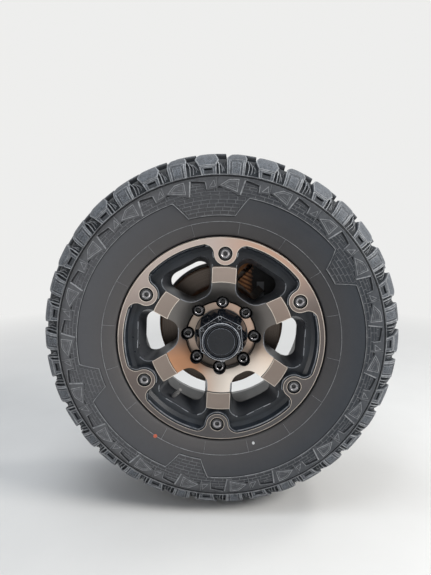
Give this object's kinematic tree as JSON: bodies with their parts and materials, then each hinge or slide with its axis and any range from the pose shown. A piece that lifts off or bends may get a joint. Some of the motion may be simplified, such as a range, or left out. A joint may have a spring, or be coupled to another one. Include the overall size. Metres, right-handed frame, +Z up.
{
  "type": "off-road wheel with brake and steering knuckle",
  "caption": "Mud-terrain tyre on a two-tone cast wheel, with hub, vented brake disc, floating caliper, splash shield and steering knuckle.",
  "frame": {"origin": "on the wheel's axis, at the inboard mouth of the knuckle's axle bore", "axes": "+Z up, +Y inboard along the wheel's axis, so that the wheel's outer face looks to -Y; -X is towards the front of the vehicle"},
  "size_m": [0.8796, 0.3264, 0.8794],
  "materials": {
    "tyre_rubber": "matte, dusty black rubber",
    "wheel_bronze": "tinted bronze over turned metal, with satin black in the pockets",
    "black_hardware": "gloss black",
    "cap_black": "satin black",
    "bare_steel": "plain, a little dull",
    "rusty_iron": "rusty casting",
    "brake_iron": "swept faces, rusty hat and edge",
    "shield_steel": "dull black sheet with some rust",
    "caliper_iron": "dark casting with rust",
    "pad_lining": "dark lining on a steel plate"
  },
  "bodies": {
    "root": {"knuckle": "rusty_iron", "bearing_housing": "rusty_iron", "splash_shield": "shield_steel", "caliper_bracket": "rusty_iron", "caliper": "caliper_iron", "caliper_pistons": "bare_steel", "guide_pins": "bare_steel", "brake_pad_outer": "pad_lining", "brake_pad_inner": "pad_lining"},
    "wheel": {"tyre": "tyre_rubber", "wheel_rim": "wheel_bronze", "rim_bolts": "black_hardware", "lug_nuts": "black_hardware", "centre_cap": "cap_black", "valve_stem": "bare_steel", "hub": "rusty_iron", "wheel_studs": "bare_steel", "brake_disc": "brake_iron"}
  },
  "joints": [
    {"name": "wheel_spin", "type": "hinge", "parent": "root", "child": "wheel", "pos_m": [0, 0, 0], "axis": [0, 1, 0], "continuous": true}
  ]
}
